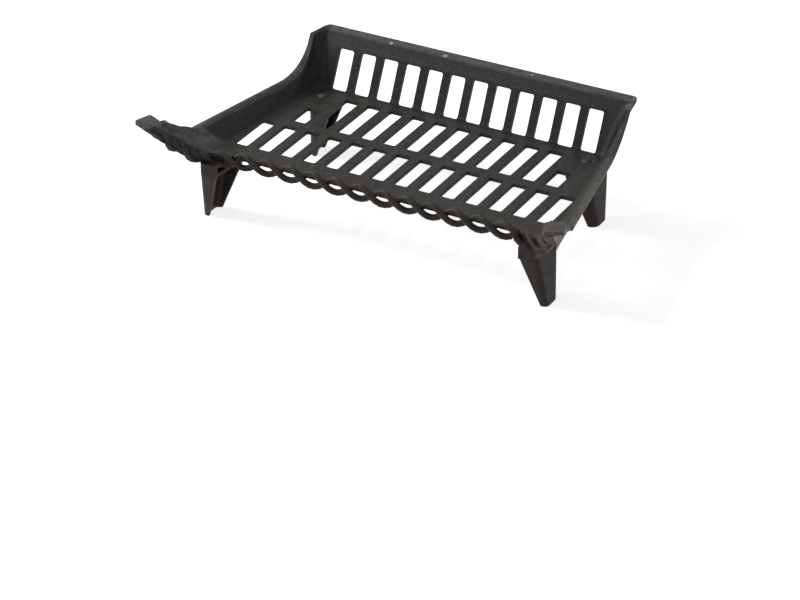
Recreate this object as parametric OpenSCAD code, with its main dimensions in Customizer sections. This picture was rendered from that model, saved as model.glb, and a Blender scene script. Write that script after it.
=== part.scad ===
// Cast-iron log grate: one slotted, dished basket casting with a pierced
// two-strand rope border and a horn at each front corner, standing on four
// tapering, trough-shaped legs that are bolted under its corners.
// Millimetres, +Z up, the front faces -Y, the origin is on the ground under
// the middle of the whole object.

/* [Floor grid] */
// Number of slot columns in the front row
front_columns = 14; // [12:2:16]
// Distance from one slot column to the next
slot_pitch = 37; // [34:0.5:40]
// Width of a floor slot
slot_w = 22.4; // [16:0.2:25]
// Corner radius of every slot
slot_r = 3; // [1:0.5:6]
// Length of the front row's slots
front_slot_len = 82.5; // [60:0.5:90]
// Length of the rear row's slots
rear_slot_len = 96; // [80:0.5:110]
// Length of the two short slots at the ends of the rear row
short_slot_len = 46; // [20:0.5:50]
// Solid bar between the two rows
cross_bar = 18.4; // [12:0.2:26]
// Floor in front of the front row, up to the rope border
front_margin = 34.5; // [28:0.5:42]
// Floor behind the rear row, up to the back wall
rear_margin = 20.9; // [12:0.1:30]
// Floor beside the outermost slots, at the middle of the front row
side_margin = 6.8; // [6.4:0.1:14]
// Thickness of the floor
floor_t = 5.6; // [4.5:0.1:8]
// How much each side of the floor draws in for every mm towards the back
floor_taper = 0.13; // [0:0.01:0.13]

/* [Walls] */
// Thickness of the side and back walls
wall_t = 5.6; // [4.5:0.1:7]
// Height of the low side walls above the floor
side_h = 24.8; // [18:0.2:32]
// How far the side walls flare out beyond the floor at the front
side_flare = 28.4; // [20:0.2:36]
// How much each side rim draws in for every mm towards the back
rim_taper = 0.185; // [0.13:0.005:0.2]
// Outward lean of the rim for every mm that it rises
rim_lean = 0.137; // [0:0.001:0.2]
// Height of the back wall's top edge above the floor
back_h = 73; // [60:0.5:90]
// Lean of the back wall from upright
back_lean = 24.8; // [15:0.1:30]
// Radius of the curve by which the side rim sweeps up to the back
sweep_r = 84; // [60:1:100]
// Width of the flared lip along the top of the back wall
lip_w = 28.5; // [18:0.5:32]
// Rise of that lip over its width
lip_rise = 7.1; // [3:0.1:9]
// Thickness of the lip's outer edge
lip_t = 4.6; // [3:0.1:6]
// Inside corner radius between side and back walls at the floor
corner_r = 12; // [8:1:20]
// Size of the cove between the floor and the walls
cove = 6; // [2:0.5:8]

/* [Back wall slots] */
// Number of slots in the back wall
back_slots = 12; // [10:2:14]
// Width of a back wall slot
back_slot_w = 25.2; // [18:0.2:28]
// Height of a back wall slot, along the wall
back_slot_h = 61; // [40:0.5:62]

/* [Rope border] */
// Length of half a turn of the rope, from one eye to the next
rope_pitch = 37.6; // [34:0.1:40]
// Height from the axis of the rope to the middle of a strand
strand_lift = 9.6; // [8:0.1:11]
// Distance by which the strands pass in front of and behind the axis
strand_depth = 4.4; // [3.5:0.1:5]
// Radius of a strand
strand_r = 4.8; // [4:0.1:5.5]

/* [Horns] */
// Thickness of the horn's plate and its hollow stem
horn_t = 5.2; // [4:0.1:6.5]
// Length of the duck-bill plate, measured outwards
bill_w = 29; // [20:0.5:34]
// Depth of the duck-bill plate, front to back
bill_d = 29; // [26:0.5:34]
// Corner radius of the duck-bill plate
bill_r = 4; // [2:0.5:8]

/* [Legs] */
// Height of the legs, from the ground to the pads under the floor
leg_h = 82; // [60:0.5:120]
// Depth of a leg at its top
leg_top_d = 69.5; // [60:0.5:76]
// Depth of a leg at its foot
leg_foot_d = 36.5; // [34:0.5:50]
// Width of a leg's flanges at the top
leg_top_w = 28.6; // [24:0.2:34]
// Width of a leg's flange at the foot, along its sloping edge
leg_foot_w = 10; // [9.5:0.1:14]
// How far the foot stands out beyond the top of the leg
leg_splay = 8; // [0:0.5:12]
// Outside radius between a leg's side and the flange along its sloping edge
leg_round = 8; // [6:0.5:9]
// Outside radius between a leg's side and the flange along its steep edge
leg_round_steep = 12; // [8:0.5:14]
// Thickness of a leg
leg_t = 5.4; // [4.5:0.1:7]
// How far the steep edge of a leg runs in on its way down
leg_straight_run = 14; // [6:0.5:18]
// How far the front legs' outer faces lie beyond the outermost front slots
front_leg_out = 16.6; // [15:0.1:18]
// How far the front legs' steep edges lie behind the front slots' near ends
front_leg_back = 0.2; // [0:0.1:3]
// How far the rear legs' outer faces lie beyond the short rear slots
rear_leg_out = 14.8; // [13:0.1:16]
// Distance of the rear legs' steep edges from the foot of the back wall
rear_leg_in = 48.5; // [45:0.5:52]

/* [Leg pads] */
// Height of the pads under the floor that the legs are bolted to
pad_h = 12; // [8:0.5:16]
// Diameter of the round boss for the bolt in each pad
boss_d = 25; // [22:0.5:26]

/* [Leg bolts] */
// Diameter of a bolt's shank
bolt_d = 6.35; // [5:0.05:8]
// Clearance of the bolt holes over the shank
bolt_clear = 0.65; // [0.4:0.05:1.2]
// Diameter of a bolt's head
bolt_head_d = 14.5; // [12:0.1:16]
// Height of a bolt's head
bolt_head_h = 3.4; // [2.5:0.1:4.5]
// Distance of the bolts from the outer faces of the legs
bolt_in = 14.2; // [13.6:0.1:16]
// Distance of the bolts from the upright edges of the legs
bolt_along = 22; // [20:0.5:26]
// Thickness of the washers
washer_t = 1.6; // [1:0.1:2.4]
// Outside diameter of the washers
washer_d = 15.8; // [13:0.1:16.4]
// Width of the nuts across their flats
nut_w = 11.1; // [10:0.1:12.5]
// Height of the nuts
nut_h = 5.5; // [4:0.1:7]

/* [Hidden] */

iron = [0.20, 0.20, 0.19];
iron_brown = [0.19, 0.17, 0.15];
bolt_steel = [0.26, 0.26, 0.25];
eps = 0.01;

// The casting's own frame: x = 0 in the middle, y = 0 at the middle of the
// front slots, z = 0 on top of the floor.
front_row_y = front_slot_len / 2;
rear_row_y = front_row_y + cross_bar;
back_y = rear_row_y + rear_slot_len + rear_margin;
front_y = -front_row_y - front_margin;
last_slot_x = (front_columns - 1) / 2 * slot_pitch + slot_w / 2;
floor_half = last_slot_x + side_margin;
front_leg_x = last_slot_x + front_leg_out;
front_leg_y = -front_row_y + front_leg_back;
rear_leg_x = last_slot_x - slot_pitch + rear_leg_out;
rear_leg_y = back_y - rear_leg_in;
rim_half = floor_half + side_flare;
back_slope = tan(back_lean);
lip_out_y = back_y + (back_h - lip_rise) * back_slope + lip_w;
floor_z = leg_h + pad_h + floor_t;
// The front studs: how far their blind holes go in, and how tight they are
stud_in = pad_h + floor_t - 3;
stud_clear = 0.1;

function floor_x(y) = floor_half - floor_taper * y;
function rim_x(y, z) = rim_half - rim_taper * y + rim_lean * z;
// Height of the side rim: low, then a round sweep up to the back wall
sweep_run = sqrt(pow(sweep_r, 2) - pow(sweep_r - (back_h - side_h), 2));
sweep_y = lip_out_y - lip_w - 13 - sweep_run;
function rim_z(y) =
    y < sweep_y ? side_h
    : y < sweep_y + sweep_run
        ? side_h + sweep_r - sqrt(pow(sweep_r, 2) - pow(y - sweep_y, 2))
        : back_h;

function unit(v) = v / norm(v);
function mix(a, b, t) = a + (b - a) * t;

// A smooth curve through a list of points, at u from 0 to 1
function curve_at(p, u) =
    let (n = len(p) - 1, s = min(u * n, n - eps), i = floor(s), t = s - i,
         a = p[max(i - 1, 0)], b = p[i], c = p[i + 1], d = p[min(i + 2, n)])
    0.5 * (2 * b + (c - a) * t + (2 * a - 5 * b + 4 * c - d) * t * t
           + (3 * b - a - 3 * c + d) * t * t * t);

// A solid through a list of rings that all have the same number of points
module loft(rings, caps) {
    n = len(rings[0]);
    last = (len(rings) - 1) * n;
    sides = [
        for (i = [0:len(rings) - 2], j = [0:n - 1], half = [0, 1])
            let (a = i * n + j, b = i * n + (j + 1) % n, c = b + n, d = a + n)
            half == 0 ? [a, b, c] : [a, c, d]
    ];
    ends = [for (f = caps) for (e = [0, 1])
        e == 0 ? [f[2], f[1], f[0]] : [f[0] + last, f[1] + last, f[2] + last]];
    polyhedron([for (r = rings) each r], concat(sides, ends), convexity = 8);
}
function fan(n) = [for (j = [1:n - 2]) [0, j, j + 1]];

// ---------------------------------------------------------------- basket

// A slot's outline, with round corners, its near end at y = 0
module slot_shape(w, l) {
    translate([-w / 2 + slot_r, 0]) square([w - 2 * slot_r, l]);
    translate([-w / 2, slot_r]) square([w, l - 2 * slot_r]);
    for (x = [-1, 1], y = [slot_r, l - slot_r])
        translate([x * (w / 2 - slot_r), y]) circle(slot_r, $fn = 16);
}

module floor_slots() {
    half = (front_columns - 1) / 2;
    for (i = [-half:half]) {
        translate([i * slot_pitch, -front_row_y])
            slot_shape(slot_w, front_slot_len);
        if (abs(i) < half)
            translate([i * slot_pitch, rear_row_y])
                slot_shape(slot_w, abs(i) < half - 1 ? rear_slot_len : short_slot_len);
    }
}

module floor_plate() {
    difference() {
        union() {
            translate([0, 0, -floor_t])
                linear_extrude(floor_t)
                    polygon([
                        [-floor_x(front_y), front_y], [floor_x(front_y), front_y],
                        [floor_x(back_y) + 1, back_y + 1], [-floor_x(back_y) - 1, back_y + 1]
                    ]);
            for (f = [true, false], r = [true, false]) in_corner(f, r) pad(f);
            horn_strap();
            mirror([1, 0, 0]) horn_strap();
        }
        translate([0, 0, -floor_t - 1]) linear_extrude(floor_t + 2) floor_slots();
        for (r = [true, false]) {
            in_corner(false, r) translate([-bolt_in, bolt_along, -1])
                cylinder(d = bolt_d + bolt_clear, h = pad_h + floor_t + 2, $fn = 32);
            in_corner(true, r) translate([-bolt_in, bolt_along, -1])
                cylinder(d = bolt_d + stud_clear, h = stud_in + 1, $fn = 32);
        }
    }
}

// The pad over a leg: side and end walls, and a round boss for the bolt. The
// front pads have a roof as well, where they stand out beyond the floor.
module pad(front) {
    depth = front ? leg_top_d : rear_leg_in;
    linear_extrude(pad_h + 1) intersection() {
        polygon(leg_section(0));
        translate([-leg_top_w, 0]) square([leg_top_w, depth]);
    }
    translate([-bolt_in, bolt_along, 0]) cylinder(d = boss_d, h = pad_h + 1, $fn = 32);
    if (front)
        translate([0, 0, pad_h - 4]) linear_extrude(5) intersection() {
            polygon(leg_line(0, 0));
            translate([-leg_top_w, bolt_along]) square([leg_top_w, depth - bolt_along]);
        }
}

// One cross-section of the wall: foot is the inner edge on the floor, knee the
// inner edge of the rim or lip, top its outer edge, and out the direction away
// from the basket. Beside the front slots there is no room for the cove.
function wall_ring(foot, knee, top, out) =
    let (run = (knee - foot) * out, h = knee[2],
         slope = [run / h * out[0], run / h * out[1], 1],
         skin = wall_t * norm([run, h]) / h,
         c = foot[1] > front_row_y + 6 ? cove : 1)
    [
        foot + out * skin - floor_t * slope,
        knee + out * min(skin, (top - knee) * out - 1.2) - [0, 0, lip_t + 0.6],
        top - [0, 0, lip_t] - out * 0.6,
        top,
        knee,
        foot + c * slope,
        foot + 0.27 * c * slope - 0.27 * c * out,
        foot - c * out,
        foot - c * out - [0, 0, floor_t]
    ];

// The stations of the right half of the wall, from the front to the middle:
// a few along the low part, more along the sweep and round the corner
low_steps = 3;
sweep_steps = 8;
flat_steps = 2;
corner_steps = 5;
rim_w = 7.5;
rim_round = 7;
knee_round = 5;
rim_front_y = front_y + 2;
rim_back_y = lip_out_y - rim_round;
knee_back_y = lip_out_y - lip_w - knee_round;
sweep_end_y = sweep_y + sweep_run;
side_y = concat(
    [for (i = [0:low_steps]) mix(rim_front_y, sweep_y, i / low_steps)],
    [for (i = [1:sweep_steps]) mix(sweep_y, sweep_end_y, i / sweep_steps)],
    [for (i = [1:flat_steps]) mix(sweep_end_y, rim_back_y, i / flat_steps)]
);
// The foot ends short of the rim, and past the sweep so does the knee
function foot_y(y) =
    mix(-front_row_y - 3, back_y - corner_r, (y - rim_front_y) / (rim_back_y - rim_front_y));
function knee_y(y) =
    y < sweep_end_y ? y
    : mix(sweep_end_y, knee_back_y, (y - sweep_end_y) / (rim_back_y - sweep_end_y));
side_turn = atan((floor_taper + rim_taper) / 2);
side_out = [cos(side_turn), sin(side_turn), 0];
function rim_at(y) = [rim_x(y, rim_z(y)), y, rim_z(y)];
foot_centre = [floor_x(back_y) - corner_r, back_y - corner_r, 0];
rim_corner = [rim_x(lip_out_y, back_h), lip_out_y, back_h];
rim_centre = rim_corner - [rim_round, rim_round, 0];
knee_centre = rim_corner - [rim_w + knee_round, lip_w + knee_round, 0];
wall_stations = concat(
    [for (y = side_y)
        wall_ring([floor_x(foot_y(y)), foot_y(y), 0],
                  rim_at(knee_y(y)) - rim_w * side_out - [0, 0, 0.8],
                  rim_at(y), side_out)],
    [for (i = [1:corner_steps])
        let (t = i / corner_steps, a = mix(side_turn, 90, t), out = [cos(a), sin(a), 0])
        wall_ring(foot_centre + corner_r * out,
                  knee_centre + knee_round * out - [0, 0, mix(0.8, lip_rise, t)],
                  rim_centre + rim_round * out, out)]
);
function flip(p) = [-p[0], p[1], p[2]];

module walls() {
    rings = concat(
        wall_stations,
        [for (i = [len(wall_stations) - 1:-1:0]) [for (p = wall_stations[i]) flip(p)]]
    );
    difference() {
        loft(rings, fan(9));
        back_wall_slots();
    }
}

module back_wall_slots() {
    for (i = [0:back_slots - 1])
        translate([(i - (back_slots - 1) / 2) * slot_pitch, back_y, 0])
            rotate([90 - back_lean, 0, 0])
                translate([0, 0, -3 * wall_t])
                    linear_extrude(6 * wall_t)
                        slot_shape(back_slot_w, back_slot_h);
}

// ------------------------------------------------------- rope and horns

// Axis of the rope: straight along the front, then out, forward and up the
// horn. The corner is where the straight part ends.
corner = [floor_x(0) - 37, front_y, 0];
rope_y = front_y - 7.4;
rope_z = -1.5;
horn_axis = [for (p = [
    [-40, -7.4, -1.5], [-20, -7.4, -3.6], [0, -7.4, -5.4], [22, -12.5, -4.6],
    [43, -25.4, 1.6], [60.5, -40.4, 14], [74, -57.4, 32.8], [83, -72.4, 48.8],
    [88, -86, 60], [90, -97, 66]
]) corner + p];
axis_fine = [for (i = [0:90]) if (i >= 20) curve_at(horn_axis, i / 90)];
axis_len = [for (i = 0, s = 0; i < len(axis_fine);
                 s = s + (i + 1 < len(axis_fine) ? norm(axis_fine[i + 1] - axis_fine[i]) : 0),
                 i = i + 1) s];
axis_table = [for (k = [0:2]) [for (i = [0:len(axis_fine) - 1]) [axis_len[i], axis_fine[i][k]]]];
rope_len = corner[0] + axis_len[len(axis_len) - 1];

// A point on the axis, at the length s from the middle
function rope_right(s) =
    s <= corner[0] ? [s, rope_y, rope_z]
    : [for (k = [0:2]) lookup(s - corner[0], axis_table[k])];
function rope_at(s) = s < 0 ? flip(rope_right(-s)) : rope_right(s);
function rope_dir(s) = unit(rope_at(s + 2) - rope_at(s - 2));
function rope_back(s) = unit(cross([0, 0, 1], rope_dir(s)));
function rope_up(s) = cross(rope_dir(s), rope_back(s));

rings_per_eye = 6;
rope_sides = 7;
rope_end = rope_len - 8;
rope_steps = 2 * round(rope_end / rope_pitch * rings_per_eye);
// The middle of one strand: it winds round the axis, half a turn per eye,
// and the two strands lie on opposite sides
function strand_at(s, side) =
    let (a = 180 * s / rope_pitch, fade = min(1, (rope_len - abs(s)) / 45))
    rope_at(s) + side * fade * (strand_lift * sin(a) * rope_up(s)
                                + strand_depth * cos(a) * rope_back(s));

module strand(side) {
    step = 2 * rope_end / rope_steps;
    loft([
        for (i = [0:rope_steps])
            let (s = -rope_end + i * step,
                 d = unit(strand_at(s + 0.8, side) - strand_at(s - 0.8, side)),
                 back = unit(cross([0, 0, 1], d)), up = cross(d, back))
            [for (k = [0:rope_sides - 1])
                let (a = -360 * (k + 0.5) / rope_sides)
                strand_at(s, side) + strand_r * (cos(a) * back + sin(a) * up)]
    ], fan(rope_sides));
}

// The horn is an open shell: a strap on top, a web behind the rope and a
// skirt on the outside. These lines run from the floor's corner to the tip.
strap_in = [for (p = [
    [4, 4, 0], [36, -8, 2.6], [58, -24, 13.4], [74, -43, 32.4],
    [82.6, -61, 50], [86.3, -80, 61.5], [88, -96, 65.5]
]) corner + p];
strap_out = [for (p = [
    [11.6, 34.3, 0], [44.9, 24, 7.4], [72, 9, 21.5], [82, -9.4, 31.5],
    [83.8, -31.6, 42.6], [81.9, -52, 56.6], [79, -70, 64.5]
]) corner + p];
skirt_top = [for (p = [
    [48, 30, 1], [68, 12, 18], [80, -2, 27], [83, -14, 33.5], [83.5, -31.6, 42],
    [86.5, -50, 56], [96, -68, 64.8], [107, -86, 66.4]
]) corner + p];
skirt_foot = 0.6 - floor_t - pad_h;
skirt_low = [for (p = [
    [44, 26, skirt_foot], [56, 10, skirt_foot], [60.5, -4.3, skirt_foot + 2],
    [66, -17, -4], [75, -35, 18],
    [84, -55, 38], [94, -75, 54], [103, -88, 64]
]) corner + p];

// Where it leaves the floor the strap is solid down to the floor's underside
function low_point(p) = [p[0], p[1], -floor_t];

module horn_strap() {
    steps = 16;
    loft([for (i = [0:steps])
        let (t = i / steps, a = curve_at(strap_in, t), b = curve_at(strap_out, t),
             d = curve_at(strap_in, min(1, t + 0.05)) + curve_at(strap_out, min(1, t + 0.05))
                 - curve_at(strap_in, max(0, t - 0.05)) - curve_at(strap_out, max(0, t - 0.05)),
             down = horn_t * unit(cross(b - a, d)))
        t < 0.25 ? [low_point(a), a, b, low_point(b)] : [a + down, a, b, b + down]
    ], fan(4));
}

module horn_web() {
    steps = 12;
    start = corner[0] + 6;
    loft([for (i = [0:steps])
        let (s = mix(start, rope_len - 6, i / steps), c = rope_at(s), back = rope_back(s),
             up = rope_up(s), fade = min(1, (rope_len - s + 14) / 40),
             low = c - 9.5 * fade * up, high = c + 8.5 * fade * up)
        [low - 0.8 * back, high - 0.8 * back, high + 12 * back, low + 8 * back]
    ], fan(4));
}

module horn_skirt() {
    steps = 9;
    loft([for (i = [0:steps])
        let (t = i / steps, a = curve_at(skirt_top, t), b = curve_at(skirt_low, t),
             d = curve_at(skirt_top, min(1, t + 0.05)) - curve_at(skirt_top, max(0, t - 0.05)),
             inward = horn_t * unit(cross(d, a - b)))
        [b + inward, a + inward, a, b]
    ], fan(4));
}

// The flat duck-bill plate at the tip, its outer side a little higher
bill_z = 68.2;
bill_turn = 19;
bill_roll = 6;
bill_reach = 102;
module horn_bill() {
    translate(corner + [86, -bill_reach, bill_z])
        rotate(bill_turn) rotate([0, -bill_roll, 0]) translate([0, 0, -horn_t])
            linear_extrude(horn_t)
                union() {
                    translate([bill_r, 0]) square([bill_w - 2 * bill_r, bill_d]);
                    translate([0, bill_r]) square([bill_w, bill_d - 2 * bill_r]);
                    for (x = [bill_r, bill_w - bill_r], y = [bill_r, bill_d - bill_r])
                        translate([x, y]) circle(bill_r, $fn = 16);
                }
}

module horn() {
    horn_web();
    horn_skirt();
    horn_bill();
}

module basket() {
    color(iron) to_ground() {
        floor_plate();
        walls();
        strand(1);
        strand(-1);
        horn();
        mirror([1, 0, 0]) horn();
    }
}

// ------------------------------------------------------------------ legs

horn_reach_y = front_y - bill_reach + bill_r * (sin(bill_turn) + cos(bill_turn) - 1);
mid_y = (horn_reach_y + lip_out_y) / 2;

// Moves the casting's frame onto the ground and centres it
module to_ground() {
    translate([0, -mid_y, floor_z]) children();
}

// A leg is a trough, open towards the middle of the grate. These are the points
// of its outer or, with skin = leg_t, its inner face at a fraction of its
// height, 0 at the top and 1 at the foot. The steep edge is on y = 0 at the top.
function leg_line(f, skin) =
    let (low_y = leg_straight_run * f,
         high_y = mix(leg_top_d, leg_straight_run + leg_foot_d, f),
         high_w = mix(leg_top_w, leg_foot_w, f),
         low_w = mix(leg_top_w + 7, leg_round_steep + 1, f),
         out = leg_splay * f)
    concat(
        [[out - high_w, high_y - skin]],
        [for (i = [0:leg_corner_steps])
            let (a = 90 - 90 * i / leg_corner_steps)
            [out - leg_round, high_y - leg_round] + (leg_round - skin) * [cos(a), sin(a)]],
        [for (i = [0:leg_corner_steps])
            let (a = -90 * i / leg_corner_steps)
            [out - leg_round_steep, low_y + leg_round_steep]
                + (leg_round_steep - skin) * [cos(a), sin(a)]],
        [[out - low_w, low_y + skin]]
    );
leg_corner_steps = 5;
function backwards(p) = [for (i = [len(p) - 1:-1:0]) p[i]];
function leg_section(f) = concat(leg_line(f, 0), backwards(leg_line(f, leg_t)));
// The faces that close a trough's end
function trough_cap(n) = [for (k = [0:n / 2 - 2]) for (half = [0, 1])
    half == 0 ? [k, k + 1, n - 2 - k] : [k, n - 2 - k, n - 1 - k]];

// One leg in its own frame: the outer face on x = 0 at the top, the top on z = 0
module leg_body() {
    rings = [for (f = [1, 0]) [for (p = leg_section(f)) [p[0], p[1], -leg_h * f]]];
    loft(rings, trough_cap(len(rings[0])));
    difference() {
        // the top plate
        translate([0, 0, -leg_t]) linear_extrude(leg_t) polygon(leg_line(0, 0));
        translate([-bolt_in, bolt_along, -leg_t - 1])
            cylinder(d = bolt_d + bolt_clear, h = leg_t + 2, $fn = 32);
    }
}

// The frame of a leg or pad at a corner of the casting, and on the ground
module in_corner(front, right) {
    mirror([right ? 0 : 1, 0, 0])
        translate([front ? front_leg_x : rear_leg_x, front ? front_leg_y : rear_leg_y,
                   -floor_t - pad_h])
            mirror([0, front ? 1 : 0, 0])
                children();
}

module at_corner(front, right) {
    to_ground() in_corner(front, right) children();
}

module leg(front, right) {
    color(iron_brown) at_corner(front, right) leg_body();
}

// ------------------------------------------------------------- fasteners

module at_bolt(front, right) {
    at_corner(front, right) translate([-bolt_in, bolt_along, 0]) children();
}

// A rear bolt has a round head on the floor, with a screwdriver slot. A front
// one is a stud, screwed into a blind hole from below, under the rope's corner.
module bolt(front, right) {
    below = leg_t + washer_t + nut_h + 2.5;
    color(bolt_steel) at_bolt(front, right)
        if (front)
            translate([0, 0, -below]) cylinder(d = bolt_d, h = below + stud_in - 1, $fn = 32);
        else
            headed_bolt(floor_t + pad_h + below);
}

module headed_bolt(shank) {
    cap_r = (pow(bolt_head_d / 2, 2) + pow(bolt_head_h, 2)) / (2 * bolt_head_h);
    translate([0, 0, floor_t + pad_h]) {
        difference() {
            intersection() {
                translate([0, 0, bolt_head_h - cap_r]) sphere(cap_r, $fn = 48);
                cylinder(d = bolt_head_d, h = bolt_head_h + 1, $fn = 48);
            }
            translate([-bolt_head_d, -0.8, bolt_head_h - 1.6])
                cube([2 * bolt_head_d, 1.6, 3]);
        }
        translate([0, 0, -shank]) cylinder(d = bolt_d, h = shank + 0.5, $fn = 32);
    }
}

module washer(front, right) {
    color(bolt_steel) at_bolt(front, right)
        translate([0, 0, -leg_t - washer_t])
            difference() {
                cylinder(d = washer_d, h = washer_t, $fn = 48);
                translate([0, 0, -1])
                    cylinder(d = bolt_d + bolt_clear, h = washer_t + 2, $fn = 32);
            }
}

module nut(front, right) {
    color(bolt_steel) at_bolt(front, right)
        translate([0, 0, -leg_t - washer_t - nut_h])
            difference() {
                cylinder(d = nut_w / cos(30), h = nut_h, $fn = 6);
                translate([0, 0, -1]) cylinder(d = bolt_d + stud_clear, h = nut_h + 2, $fn = 32);
            }
}

basket();
leg(true, false);  // leg_front_left
leg(true, true);  // leg_front_right
leg(false, false);  // leg_rear_left
leg(false, true);  // leg_rear_right
bolt(true, false);  // bolt_front_left
bolt(true, true);  // bolt_front_right
bolt(false, false);  // bolt_rear_left
bolt(false, true);  // bolt_rear_right
washer(true, false);  // washer_front_left
washer(true, true);  // washer_front_right
washer(false, false);  // washer_rear_left
washer(false, true);  // washer_rear_right
nut(true, false);  // nut_front_left
nut(true, true);  // nut_front_right
nut(false, false);  // nut_rear_left
nut(false, true);  // nut_rear_right
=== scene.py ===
import math
import bpy
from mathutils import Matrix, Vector

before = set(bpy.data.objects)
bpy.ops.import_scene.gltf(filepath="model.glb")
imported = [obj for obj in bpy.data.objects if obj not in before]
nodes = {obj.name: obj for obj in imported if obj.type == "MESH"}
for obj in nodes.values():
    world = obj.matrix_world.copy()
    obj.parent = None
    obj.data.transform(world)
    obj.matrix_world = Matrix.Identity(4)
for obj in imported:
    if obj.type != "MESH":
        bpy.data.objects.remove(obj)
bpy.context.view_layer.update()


# ---------------------------------------------------------------- camera
# It stands right of the front and looks down, about 4.5 m away with a long lens.
SENSOR_WIDTH = 36.0
FOCAL_LENGTH = 142.606
CAMERA_AT = (1.900582, -3.487081, 2.178580)
DEGREES_DOWN = 30.1294
DEGREES_LEFT = 28.8336

cam_data = bpy.data.cameras.new("photo_camera")
cam_data.sensor_width = SENSOR_WIDTH
cam_data.lens = FOCAL_LENGTH
cam = bpy.data.objects.new("photo_camera", cam_data)
bpy.context.scene.collection.objects.link(cam)
cam.location = CAMERA_AT
cam.rotation_euler = (math.radians(90 - DEGREES_DOWN), 0.0, math.radians(DEGREES_LEFT))
bpy.context.scene.camera = cam
bpy.context.scene.view_settings.view_transform = "Standard"


# ---------------------------------------------------------------- node helpers
class Nodes:
    """Short calls for building one material's node tree."""

    def __init__(self, name):
        self.mat = bpy.data.materials.new(name)
        self.mat.use_nodes = True
        self.tree = self.mat.node_tree
        self.tree.nodes.clear()
        self.out = self.tree.nodes.new("ShaderNodeOutputMaterial")
        self.coords = self.tree.nodes.new("ShaderNodeTexCoord").outputs["Object"]

    def set(self, socket, value):
        if isinstance(value, bpy.types.NodeSocket):
            self.tree.links.new(value, socket)
        else:
            socket.default_value = value

    def noise(self, scale, detail, rough):
        n = self.tree.nodes.new("ShaderNodeTexNoise")
        n.inputs["Scale"].default_value = scale
        n.inputs["Detail"].default_value = detail
        n.inputs["Roughness"].default_value = rough
        self.set(n.inputs["Vector"], self.coords)
        return n.outputs["Fac"]

    def cells(self, scale):
        n = self.tree.nodes.new("ShaderNodeTexVoronoi")
        n.inputs["Scale"].default_value = scale
        self.set(n.inputs["Vector"], self.coords)
        return n.outputs["Distance"]

    def ramp(self, value, start, full, low=0.0, high=1.0):
        """Low where the value is at the start, high where it is full, and even between."""
        n = self.tree.nodes.new("ShaderNodeMapRange")
        n.clamp = True
        self.set(n.inputs["Value"], value)
        n.inputs["From Min"].default_value = start
        n.inputs["From Max"].default_value = full
        n.inputs["To Min"].default_value = low
        n.inputs["To Max"].default_value = high
        return n.outputs["Result"]

    def math(self, kind, a, b=0.0, clamp=False):
        n = self.tree.nodes.new("ShaderNodeMath")
        n.operation = kind
        n.use_clamp = clamp
        self.set(n.inputs[0], a)
        self.set(n.inputs[1], b)
        return n.outputs[0]

    def plus(self, a, b):
        return self.math("ADD", a, b)

    def times(self, product, *factors):
        for factor in factors:
            product = self.math("MULTIPLY", product, factor)
        return product

    def most(self, largest, *others):
        for other in others:
            largest = self.math("MAXIMUM", largest, other)
        return largest

    def without(self, mask, share=1.0):
        """1 where the mask is 0, and 1 less the share where it is 1."""
        return self.math("SUBTRACT", 1.0, self.times(mask, share))

    def mix(self, amount, a, b):
        n = self.tree.nodes.new("ShaderNodeMix")
        n.data_type = "RGBA"
        self.set(n.inputs[0], amount)
        self.set(n.inputs[6], a)
        self.set(n.inputs[7], b)
        return n.outputs[2]

    def mix_tones(self, amount, tones, others):
        """Each tone of the first set mixed with its like in the other."""
        return [self.mix(amount, a, b) for a, b in zip(tones, others)]

    def axis(self, source, which):
        n = self.tree.nodes.new("ShaderNodeSeparateXYZ")
        self.set(n.inputs[0], source)
        return n.outputs[which]

    def facing(self, which):
        """How far a face looks along +X, +Y or +Z, from -1 to 1."""
        g = self.tree.nodes.new("ShaderNodeNewGeometry")
        return self.axis(g.outputs["Normal"], which)

    def near(self, point, size):
        """1 around a point, 0 further off than the size."""
        n = self.tree.nodes.new("ShaderNodeVectorMath")
        n.operation = "DISTANCE"
        self.set(n.inputs[0], self.coords)
        n.inputs[1].default_value = point
        return self.ramp(n.outputs["Value"], size, size * 0.5)

    def bump(self, height, distance, strength, normal):
        n = self.tree.nodes.new("ShaderNodeBump")
        n.inputs["Distance"].default_value = distance
        n.inputs["Strength"].default_value = strength
        self.set(n.inputs["Height"], height)
        self.set(n.inputs["Normal"], normal)
        return n.outputs["Normal"]

    def soft_edge(self, radius):
        n = self.tree.nodes.new("ShaderNodeBevel")
        n.samples = 4
        n.inputs["Radius"].default_value = radius
        return n.outputs["Normal"]

    def edge(self, radius):
        """1 on the arrises and in the creases, 0 on open faces, from how far a rounded normal
        leans.
        """
        g = self.tree.nodes.new("ShaderNodeNewGeometry")
        d = self.tree.nodes.new("ShaderNodeVectorMath")
        d.operation = "DOT_PRODUCT"
        self.set(d.inputs[0], self.soft_edge(radius))
        self.set(d.inputs[1], g.outputs["Normal"])
        return self.ramp(d.outputs["Value"], *ARRIS_LEAN)

    def shader(self, **values):
        s = self.tree.nodes.new("ShaderNodeBsdfPrincipled")
        for key, value in values.items():
            self.set(s.inputs[key.replace("_", " ")], value)
        self.tree.links.new(s.outputs[0], self.out.inputs["Surface"])
        return self.mat


X, Y, Z = range(3)


def grey(r, g, b):
    """A colour written as it shows on screen, 0 to 255."""
    def lin(v):
        v = v / 255.0
        return v / 12.92 if v <= 0.04045 else ((v + 0.055) / 1.055) ** 2.4
    return (lin(r), lin(g), lin(b), 1.0)


# ---------------------------------------------------------------- cast iron
# Layers of noise on the cast surface, from wide blotches to sand grain:
# scale, detail and roughness
NOISE = {
    "broad": (7.0, 4.0, 0.6),
    "cloud": (36.0, 5.0, 0.62),
    "speckle": (150.0, 4.0, 0.65),
    "fine": (380.0, 3.0, 0.6),
    "grain": (900.0, 3.0, 0.6),
}
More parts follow.
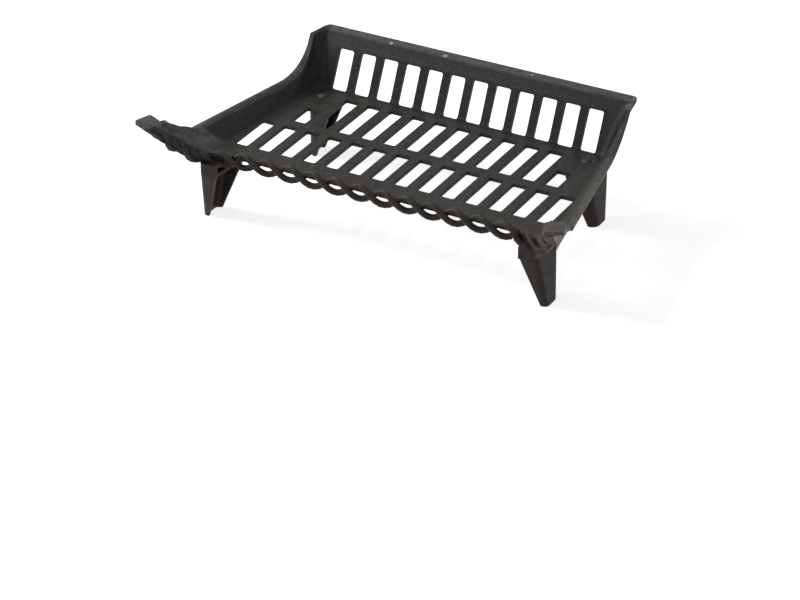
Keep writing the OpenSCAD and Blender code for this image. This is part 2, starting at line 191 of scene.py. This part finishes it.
# How the layers mottle the dark tone: layer, tone that it brings in, where that
# starts, where it is full, and its share there
MOTTLING = (
    ("cloud", "base", 0.36, 0.64, 1.0),
    ("broad", "pale", 0.42, 0.66, 0.55),
    ("speckle", "pale", 0.50, 0.66, 0.85),
    ("speckle", "dark", 0.50, 0.36, 0.80),
    ("fine", "dark", 0.46, 0.34, 0.70))
# How the layers stand out: layer, height and strength
RELIEF = (
    ("broad", 0.0030, 0.30),
    ("cloud", 0.0014, 0.60),
    ("speckle", 0.00060, 0.75),
    ("fine", 0.00025, 0.80),
    ("pits", 0.00020, 0.8),
    ("grain", 0.00010, 0.9))
PIT_SCALE = 330.0
PIT_RIM = (0.02, 0.40)
RUST_NOISE = (27.0, 6.0, 0.72)
RUST_SPOTS = (0.44, 0.66)
# Cosine between the rounded and the true normal: open face, arris
ARRIS_LEAN = (0.995, 0.80)
ARRIS_DARK = 0.45
# The coat wears off least in the hollows of the speckle, and the painted highlights break up
# there too
WEAR_AND_HIGHLIGHT_HOLLOWS = (0.34, 0.60)
WEAR_AND_HIGHLIGHT_LEAST = 0.45
WORN_POLISH = 0.10


def iron(n, tones, wear_and_highlight_colour, rust, rust_share, bared_and_highlit, arris, soft_radius):
    """Sand-cast iron under a thin matt coat: mottled, grainy, with rusty places, and with bared
    places and painted highlights in a paler colour.
    """
    layers = {name: n.noise(*settings) for name, settings in NOISE.items()}
    pits = n.cells(PIT_SCALE)
    layers["pits"] = n.ramp(pits, *PIT_RIM)

    tone = dict(zip(("dark", "base", "pale"), tones))
    colour = tone["dark"]
    for layer, name, start, full, share in MOTTLING:
        colour = n.mix(n.ramp(layers[layer], start, full, high=share), colour, tone[name])
    spots = n.times(n.ramp(n.noise(*RUST_NOISE), *RUST_SPOTS), rust_share)
    colour = n.mix(spots, colour, rust)
    # darker along the arrises, and in the creases as painted shade
    colour = n.mix(n.times(arris, ARRIS_DARK), colour, tone["dark"])
    # the paler colour is wear, and on the basket's horns and rims painted highlight as well
    wear_and_highlight = n.times(bared_and_highlit, n.ramp(layers["speckle"], *WEAR_AND_HIGHLIGHT_HOLLOWS, low=WEAR_AND_HIGHLIGHT_LEAST))
    colour = n.mix(wear_and_highlight, colour, wear_and_highlight_colour)

    rough = n.ramp(layers["cloud"], 0.3, 0.7, low=0.50, high=0.66)
    rough = n.plus(rough, n.ramp(pits, 0.0, 0.4, low=0.10, high=-0.03))
    rough = n.math("SUBTRACT", rough, n.times(wear_and_highlight, WORN_POLISH), clamp=True)

    normal = n.soft_edge(soft_radius)
    for layer, height, strength in RELIEF:
        normal = n.bump(layers[layer], height, strength, normal)
    return n.shader(
        Base_Color=colour, Metallic=0.0, Roughness=rough, Normal=normal,
        Specular_IOR_Level=0.20, IOR=1.5)


# ---------------------------------------------------------------- finish of the basket
# Dark, base and pale tones
FLOOR_TONES = [grey(28, 28, 27), grey(47, 47, 44), grey(66, 66, 61)]
# The walls' tones are painted shade: darker and bluish
WALL_SHADE_TONES = [grey(24, 24, 27), grey(38, 38, 41), grey(53, 53, 55)]
FRONT_TONES = [grey(32, 27, 25), grey(49, 42, 38), grey(62, 56, 51)]
# Rust brown darkened by painted shade, under the right horn
PIT_RUST_AND_SHADE_TONES = [grey(24, 17, 14), grey(30, 21, 17), grey(38, 28, 23)]
TWIST_RUST_AND_SHADE_TONES = [grey(25, 18, 15), grey(34, 24, 20), grey(43, 32, 27)]
UNDER_TONES = [grey(27, 23, 22), grey(38, 33, 30), grey(50, 44, 40)]
# Painted shade on the left horn's rope
LEFT_ROPE_SHADE = grey(31, 30, 32)
# Paler colours: painted sheen and light on the horns and web, wear and painted highlight on the
# rims, bare iron in the chips, and rust
HORN_PAINTED_SHEEN = grey(82, 82, 80)
WEB_PAINTED_LIGHT = grey(124, 123, 121)
RIGHT_HORN_PAINTED_SHEEN = grey(112, 104, 98)
RIGHT_SIDE_PAINTED_LIGHT = grey(106, 97, 89)
RIM_WEAR_AND_HIGHLIGHT = grey(92, 91, 85)
CHIP = grey(190, 189, 180)
BASKET_RUST = grey(78, 52, 40)

# Bands in which a mask goes from 0 to 1, along the axis that the name ends with:
# the halves, the front margin, the corners, the underside and the walls
RIGHT_X = (-0.05, 0.05)
MARGIN_Y = (-0.085, -0.125)
CORNER_X = (0.205, 0.265)
UNDER_Z = (0.0972, 0.0960)
WALL_Z = (0.1003, 0.1040)
WALL_Y = (-0.115, -0.095)
SUNNY_Y = (0.130, 0.080)
# Painted shade: the back cove, the side gutters, the floor's top and the right back corner
COVE_Y = (0.136, 0.146)
COVE_Z = (0.112, 0.104)
GUTTER_X = (0.234, 0.240)
GUTTER_Y = (-0.110, -0.090)
GUTTER_Z = (0.1060, 0.1015)
FLOOR_Z = (0.0985, 0.0992)
SHADE_X = (0.2265, 0.2325)
SHADE_END_X = (0.2465, 0.2435)
SHADE_Y = (0.135, 0.148)
SHADE_Z = (0.158, 0.148)
# Rims: the back lip, the side rims and the right one's sweep up to the lip
LIP_Y = (0.1895, 0.1965)
LIP_Z = (0.158, 0.164)
RIM_FRONT_Y = (-0.125, -0.100)
RIM_BACK_Y = (0.150, 0.120)
RIM_Z = (0.108, 0.114)
RIM_FADE_Y = (0.11, 0.0)
SWEEP_X = (0.2480, 0.2505)
SWEEP_Y = (0.186, 0.180)
SWEEP_Z = (0.144, 0.152)
# Horns: the web, the whole horn, the edge of the bill and the rope below it
WEB_X = (0.244, 0.264)
WEB_Y = (-0.080, -0.092)
WEB_Z = (0.103, 0.112)
HORN_Z = (0.099, 0.112)
BROW_Z = (0.160, 0.164)
BELOW_BILL_Z = (0.160, 0.150)

# The side rims draw in towards the back and lean out as they rise: on their
# outer edges |x| + RIM_TAPER y - RIM_LEAN z is RIM_LINE, worked out at a point
# on the right edge's line, level with the floor and beside the front slots.
RIM_TAPER = 0.185
RIM_LEAN = 0.137
RIM_POINT = (0.2869, -0.0294, 0.0996)
RIM_LINE = RIM_POINT[0] + RIM_TAPER * RIM_POINT[1] - RIM_LEAN * RIM_POINT[2]
RIM_BAND = (RIM_LINE - 0.0110, RIM_LINE - 0.0095)
RIM_CREST = (RIM_LINE - 0.0060, RIM_LINE - 0.0020)

# The horns' webs end where z + WEB_SLOPE y is in this band.
WEB_SLOPE = 0.847
WEB_END = (0.002, 0.006)

# Bands in which a mask goes from 0 to 1 as a face turns: up or down for Z, to
# the right for X and backwards for Y
LEDGE_FACE_Z = (0.4, 0.8)
SWEEP_FACE_Z = (0.15, 0.35)
TOP_FACE_Z = (0.15, 0.6)
PIT_FACE_Z = (0.05, -0.20)
PIT_FACE_X = (0.7, 0.4)
INWARD_FACE_X = (0.2, 0.7)
OUTWARD_FACE_X = (0.3, 0.8)
BROW_FACE_Y = (-0.4, -0.8)

# How strong the masks are
CORNER_SHADE_SHARE = 0.70
SHADE_SHARE = 0.85
LEDGE_SHARE = 0.7
SWEEP_SHARE = 0.75
TOP_SHARES = (0.10, 0.60)
RIM_LEAST = 0.15
RIGHT_BAND_LOSS = 0.6
BELOW_BILL_LOSS = 0.7
LEFT_ROPE_SHADE_SHARE = 0.6
BROWN_SHARE = 0.75
BROWN_LOSS = 0.65
RUST_LEAST = 0.10
RUST_FRONT = 0.20
RUST_CORNER = 0.40
TWIST_RUST_LOSS = 0.5

# Chips in the coat on the back lip, and how big each is
CHIPS = (
    ((-0.1415, 0.1960, 0.1703), 0.0036),
    ((-0.0520, 0.1960, 0.1702), 0.0044),
    ((0.0882, 0.2000, 0.1710), 0.0030))

# Uneven edges for the masks: noise, how far it moves them, and its share on rims
DRIFT = (24.0, 3.0, 0.6)
DRIFT_REACH = 0.05
RIPPLE_SHARE = 0.10

# Rounding that the basket's arrises show, and how far their darker line reaches; in the creases
# it is painted shade
BASKET_SOFT_RADIUS = 0.0012
ARRIS_RADIUS = 0.0022


def basket_iron():
    """Black-grey, brown in front and below; painted shade, bluish, on the walls, in the corners
    and under the right horn; painted sheen and highlights on the horns and rims, the rims also
    worn.
    """
    n = Nodes("basket_iron")
    side = n.axis(n.coords, X)
    x = n.math("ABSOLUTE", side)
    y = n.axis(n.coords, Y)
    z = n.axis(n.coords, Z)
    face_x = n.facing(X)
    face_y = n.facing(Y)
    face_z = n.facing(Z)
    drift = n.times(n.math("SUBTRACT", n.noise(*DRIFT), 0.5), DRIFT_REACH)
    ripple = n.times(drift, RIPPLE_SHARE)

    # the basket's regions
    right = n.ramp(side, *RIGHT_X)
    left = n.without(right)
    under = n.ramp(z, *UNDER_Z)
    front = n.ramp(n.plus(y, drift), *MARGIN_Y)
    # painted shade: darker, bluish tones on the walls, but not on the sunny part of the right
    # wall
    sunny = n.times(right, n.ramp(y, *SUNNY_Y))
    shaded_walls = n.times(n.ramp(z, *WALL_Z), n.ramp(y, *WALL_Y), n.without(sunny))
    corner = n.times(n.ramp(n.plus(x, drift), *CORNER_X), front)
    left_corner = n.times(corner, left)
    right_corner = n.times(corner, right)
    below_bill = n.ramp(z, *BELOW_BILL_Z)

    # painted shade in the corners between the floor and the walls, and on ledges below
    cove = n.times(n.ramp(y, *COVE_Y), n.ramp(z, *COVE_Z))
    gutter = n.times(n.ramp(x, *GUTTER_X), n.ramp(z, *GUTTER_Z), n.ramp(y, *GUTTER_Y))
    painted_shade = n.times(n.most(cove, gutter), n.ramp(z, *FLOOR_Z, high=CORNER_SHADE_SHARE))
    shade = n.times(right, n.ramp(x, *SHADE_X), n.ramp(x, *SHADE_END_X))
    shade = n.times(shade, n.ramp(y, *SHADE_Y), n.ramp(z, *SHADE_Z))
    ledge = n.times(under, n.ramp(face_z, *LEDGE_FACE_Z, high=LEDGE_SHARE))
    painted_shade = n.most(painted_shade, n.times(shade, SHADE_SHARE), ledge)

    # the rims' outer bands, from the lines that the rims follow, paler as wear and painted
    # highlight
    lip = n.times(n.ramp(n.plus(y, ripple), *LIP_Y), n.ramp(z, *LIP_Z))
    rim_x = n.plus(n.times(y, -RIM_TAPER), n.times(z, RIM_LEAN))
    past = n.math("SUBTRACT", n.plus(x, ripple), rim_x)
    band = n.times(n.ramp(past, *RIM_BAND), n.without(right, RIGHT_BAND_LOSS))
    rim = n.times(n.most(band, n.ramp(past, *RIM_CREST)), n.ramp(z, *RIM_Z))
    fade = n.most(left, n.ramp(y, *RIM_FADE_Y, low=RIM_LEAST))
    rim = n.times(rim, fade, n.ramp(y, *RIM_FRONT_Y), n.ramp(y, *RIM_BACK_Y))
    rims = n.most(lip, rim)
    # painted highlight on the right rim's sweep up to the lip
    sweep = n.times(right, n.ramp(x, *SWEEP_X), n.ramp(z, *SWEEP_Z))
    sweep = n.times(sweep, n.ramp(y, *SWEEP_Y), n.ramp(face_z, *SWEEP_FACE_Z))

    # the horns: painted sheen on top, painted light on the left one's web and on the right one's
    # outer side and bill edge
    web = n.times(n.ramp(n.plus(z, n.times(y, WEB_SLOPE)), *WEB_END), n.ramp(z, *WEB_Z))
    web = n.times(web, n.ramp(x, *WEB_X), n.ramp(y, *WEB_Y), left)
    inward = n.times(left, n.ramp(face_x, *INWARD_FACE_X))
    outward = n.times(right_corner, n.ramp(face_x, *OUTWARD_FACE_X))
    brow = n.times(right_corner, n.ramp(z, *BROW_Z), n.ramp(face_y, *BROW_FACE_Y))
    tops = n.times(corner, n.ramp(z, *HORN_Z), n.ramp(face_z, *TOP_FACE_Z, *TOP_SHARES))
    tops = n.times(tops, n.without(n.times(right, below_bill), BELOW_BILL_LOSS))
    # where the paler colour goes: painted sheen and highlights on the horns and rims, with wear
    # on the rims
    bared_and_highlit = n.most(rims, tops, web, outward, brow, n.times(sweep, SWEEP_SHARE))

    # the tones of each region
    brown = n.times(front, n.math("SUBTRACT", BROWN_SHARE, n.times(left_corner, BROWN_LOSS)))
    # painted shade on rust brown: the right horn's downward faces (pit) and all below its bill
    # (twist)
    pit = n.times(right_corner, n.ramp(face_z, *PIT_FACE_Z), n.ramp(face_x, *PIT_FACE_X))
    twist = n.times(right_corner, below_bill)
    tones = n.mix_tones(brown, n.mix_tones(shaded_walls, FLOOR_TONES, WALL_SHADE_TONES), FRONT_TONES)
    tones = n.mix_tones(pit, tones, PIT_RUST_AND_SHADE_TONES)
    dark, base, pale = n.mix_tones(twist, tones, TWIST_RUST_AND_SHADE_TONES)
    # painted shade darkens the left horn's rope, off its web
    base = n.mix(n.times(left_corner, n.without(web), LEFT_ROPE_SHADE_SHARE), base, LEFT_ROPE_SHADE)
    dark, base, pale = n.mix_tones(under, (dark, base, pale), UNDER_TONES)
    # the painted shade pulls the base and pale tones to the dark one
    base = n.mix(painted_shade, base, dark)
    pale = n.mix(painted_shade, pale, dark)

    rust_share = n.plus(n.times(right_corner, RUST_CORNER), n.times(front, RUST_FRONT))
    rust_share = n.math("ADD", rust_share, RUST_LEAST, clamp=True)
    rust_share = n.times(rust_share, n.without(twist, TWIST_RUST_LOSS))
    # painted light on the right horn's outer side and bill edge, painted sheen on its top
    right_painted_light = n.mix(n.most(outward, brow), RIGHT_HORN_PAINTED_SHEEN, RIGHT_SIDE_PAINTED_LIGHT)
    wear_and_highlight_colour = n.mix(right, n.mix(inward, HORN_PAINTED_SHEEN, WEB_PAINTED_LIGHT), right_painted_light)
    wear_and_highlight_colour = n.mix(n.most(rims, sweep), wear_and_highlight_colour, RIM_WEAR_AND_HIGHLIGHT)
    for point, size in CHIPS:
        chip = n.near(point, size)
        wear_and_highlight_colour = n.mix(chip, wear_and_highlight_colour, CHIP)
        bared_and_highlit = n.most(bared_and_highlit, chip)
    arris = n.times(n.edge(ARRIS_RADIUS), n.without(under))
    return iron(
        n, (dark, base, pale), wear_and_highlight_colour, BASKET_RUST, rust_share, bared_and_highlit, arris, BASKET_SOFT_RADIUS)


# ---------------------------------------------------------------- finish of legs and fasteners
LEG_DARK = grey(27, 23, 22)
# Left legs lighter as painted light, right legs darker as painted shade
LEFT_LEG_LIT = (grey(49, 43, 40), grey(65, 58, 54))
RIGHT_LEG_SHADED = (grey(34, 29, 27), grey(46, 41, 38))
LEG_WORN = grey(78, 72, 65)
LEG_RUST = grey(70, 48, 38)
FOOT_Z = (0.030, 0.0)
LEG_RUST_LEAST = 0.30
FOOT_RUST = 0.25
FOOT_BARED = 0.10
LEG_SOFT_RADIUS = 0.0010


def leg_iron():
    """Brown-black, lighter on the left legs as painted light and darker on the right ones as
    painted shade, and rustier towards the feet.
    """
    n = Nodes("leg_iron")
    foot = n.ramp(n.axis(n.coords, Z), *FOOT_Z)
    right = n.ramp(n.axis(n.coords, X), *RIGHT_X)
    base, pale = n.mix_tones(right, LEFT_LEG_LIT, RIGHT_LEG_SHADED)
    rust_share = n.plus(n.times(foot, FOOT_RUST), LEG_RUST_LEAST)
    return iron(
        n, (LEG_DARK, base, pale), LEG_WORN, LEG_RUST, rust_share,
        bared_and_highlit=n.times(foot, FOOT_BARED), arris=0.0, soft_radius=LEG_SOFT_RADIUS)


STEEL_PALE = grey(52, 52, 49)
STEEL_DARK = grey(37, 36, 35)
STEEL_RUST = grey(64, 46, 37)
STEEL_CLOUD = (160.0, 4.0, 0.6)
STEEL_MARKS = (1500.0, 2.0, 0.5)
STEEL_SPOTS = (90.0, 5.0, 0.7)
MARK_HEIGHT = 0.00006
MARK_STRENGTH = 0.6
STEEL_SOFT_RADIUS = 0.0004


def bolt_steel():
    """Dull dark fastener steel, with turning marks and a little rust."""
    n = Nodes("bolt_steel")
    cloud = n.noise(*STEEL_CLOUD)
    marks = n.noise(*STEEL_MARKS)
    rusty = n.ramp(n.noise(*STEEL_SPOTS), 0.50, 0.68, high=0.7)
    colour = n.mix(n.ramp(cloud, 0.35, 0.7), STEEL_PALE, STEEL_DARK)
    colour = n.mix(rusty, colour, STEEL_RUST)
    rough = n.ramp(cloud, 0.3, 0.7, low=0.45, high=0.65)
    normal = n.bump(marks, MARK_HEIGHT, MARK_STRENGTH, n.soft_edge(STEEL_SOFT_RADIUS))
    return n.shader(
        Base_Color=colour, Metallic=0.0, Roughness=rough, Normal=normal,
        Specular_IOR_Level=0.4, IOR=1.5)


def dress(obj, material):
    """Puts the material in all of a piece's slots, or in a first one."""
    if not obj.material_slots:
        obj.data.materials.append(material)
    for slot in obj.material_slots:
        slot.material = material


# ---------------------------------------------------------------- smooth castings
DOUBLED_POINTS = 0.00002
SMOOTH_DEGREES = 58.0
# Neither large nor small faces count for more than their area
NORMAL_WEIGHT = 50


def smooth_group():
    """Joins doubled points and shades smoothly over every edge flatter than the limit."""
    tree = bpy.data.node_groups.new("soft_casting", "GeometryNodeTree")
    tree.interface.new_socket("Geometry", in_out="INPUT", socket_type="NodeSocketGeometry")
    tree.interface.new_socket("Geometry", in_out="OUTPUT", socket_type="NodeSocketGeometry")
    into = tree.nodes.new("NodeGroupInput")
    out = tree.nodes.new("NodeGroupOutput")
    merge = tree.nodes.new("GeometryNodeMergeByDistance")
    merge.inputs["Distance"].default_value = DOUBLED_POINTS
    faces = tree.nodes.new("GeometryNodeSetShadeSmooth")
    faces.domain = "FACE"
    edges = tree.nodes.new("GeometryNodeSetShadeSmooth")
    edges.domain = "EDGE"
    lean = tree.nodes.new("GeometryNodeInputMeshEdgeAngle")
    flat = tree.nodes.new("FunctionNodeCompare")
    flat.data_type = "FLOAT"
    flat.operation = "LESS_THAN"
    flat.inputs[1].default_value = math.radians(SMOOTH_DEGREES)
    tree.links.new(into.outputs[0], merge.inputs["Geometry"])
    tree.links.new(merge.outputs[0], faces.inputs["Geometry"])
    tree.links.new(faces.outputs[0], edges.inputs["Geometry"])
    tree.links.new(lean.outputs["Unsigned Angle"], flat.inputs[0])
    tree.links.new(flat.outputs[0], edges.inputs["Shade Smooth"])
    tree.links.new(edges.outputs[0], out.inputs[0])
    return tree


def soften(obj, group):
    """Smooth shading, weighted by the faces' areas, that keeps the sharp arrises."""
    smooth = obj.modifiers.new("smooth", "NODES")
    smooth.node_group = group
    even = obj.modifiers.new("even", "WEIGHTED_NORMAL")
    even.keep_sharp = True
    even.weight = NORMAL_WEIGHT


basket_material = basket_iron()
leg_material = leg_iron()
bolt_material = bolt_steel()
soft_casting = smooth_group()
for name, obj in nodes.items():
    if name == "basket":
        dress(obj, basket_material)
        soften(obj, soft_casting)
    elif name.startswith("leg_"):
        dress(obj, leg_material)
        soften(obj, soft_casting)
    else:
        dress(obj, bolt_material)


# ---------------------------------------------------------------- stage and light
FLOOR_HALF = 9.0
FLOOR_PAINT = (0.80, 0.80, 0.80, 1.0)
FLOOR_GLOW = 0.79
WORLD_COLOUR = (0.93, 0.95, 1.0, 1.0)
WORLD_LIGHT = 0.20
WHITE = (1.0, 1.0, 1.0, 1.0)
LIGHTS_AIM = (0.0, 0.0, 0.1)


def white_rays(tree):
    """1 for the rays that see the white backdrop: camera, glossy and transmission rays."""
    path = tree.nodes.new("ShaderNodeLightPath")
    total = path.outputs["Is Camera Ray"]
    for name in ("Is Glossy Ray", "Is Transmission Ray"):
        either = tree.nodes.new("ShaderNodeMath")
        either.operation = "MAXIMUM"
        tree.links.new(total, either.inputs[0])
        tree.links.new(path.outputs[name], either.inputs[1])
        total = either.outputs[0]
    return total


def stage_floor():
    """A pale floor that shows as white, with the object's shadow still faintly on it."""
    half = FLOOR_HALF
    corners = [(-half, -half, 0), (half, -half, 0), (half, half, 0), (-half, half, 0)]
    mesh = bpy.data.meshes.new("stage_floor")
    mesh.from_pydata(corners, [], [(0, 1, 2, 3)])
    obj = bpy.data.objects.new("stage_floor", mesh)
    bpy.context.scene.collection.objects.link(obj)
    mat = bpy.data.materials.new("stage_floor")
    mat.use_nodes = True
    tree = mat.node_tree
    paint = tree.nodes["Principled BSDF"]
    paint.inputs["Base Color"].default_value = FLOOR_PAINT
    paint.inputs["Roughness"].default_value = 0.9
    paint.inputs["Specular IOR Level"].default_value = 0.0
    paint.inputs["Emission Color"].default_value = WHITE
    glow = tree.nodes.new("ShaderNodeMath")
    glow.operation = "MULTIPLY"
    tree.links.new(white_rays(tree), glow.inputs[0])
    glow.inputs[1].default_value = FLOOR_GLOW
    tree.links.new(glow.outputs[0], paint.inputs["Emission Strength"])
    mesh.materials.append(mat)


def studio_world():
    """A dim, even light all round, behind which the backdrop shows as white."""
    world = bpy.data.worlds.new("studio")
    bpy.context.scene.world = world
    world.use_nodes = True
    tree = world.node_tree
    tree.nodes.clear()
    light = tree.nodes.new("ShaderNodeBackground")
    light.inputs["Color"].default_value = WORLD_COLOUR
    light.inputs["Strength"].default_value = WORLD_LIGHT
    white = tree.nodes.new("ShaderNodeBackground")
    white.inputs["Color"].default_value = WHITE
    white.inputs["Strength"].default_value = 1.0
    pick = tree.nodes.new("ShaderNodeMixShader")
    out = tree.nodes.new("ShaderNodeOutputWorld")
    tree.links.new(white_rays(tree), pick.inputs[0])
    tree.links.new(light.outputs[0], pick.inputs[1])
    tree.links.new(white.outputs[0], pick.inputs[2])
    tree.links.new(pick.outputs[0], out.inputs["Surface"])


def area_light(name, at, size, power, colour):
    """A rectangular lamp that looks at the grate."""
    data = bpy.data.lights.new(name, "AREA")
    data.shape = "RECTANGLE"
    data.size, data.size_y = size
    data.energy = power
    data.color = colour
    obj = bpy.data.objects.new(name, data)
    bpy.context.scene.collection.objects.link(obj)
    obj.location = at
    aim = Vector(LIGHTS_AIM) - Vector(at)
    obj.rotation_euler = aim.to_track_quat("-Z", "Y").to_euler()


stage_floor()
studio_world()
area_light("key", at=(-2.2, -0.5, 1.75), size=(1.3, 1.3), power=66.0, colour=(1.0, 0.98, 0.94))
area_light("fill", at=(0.9, -2.6, 1.5), size=(1.8, 1.2), power=6.0, colour=(0.98, 0.99, 1.0))
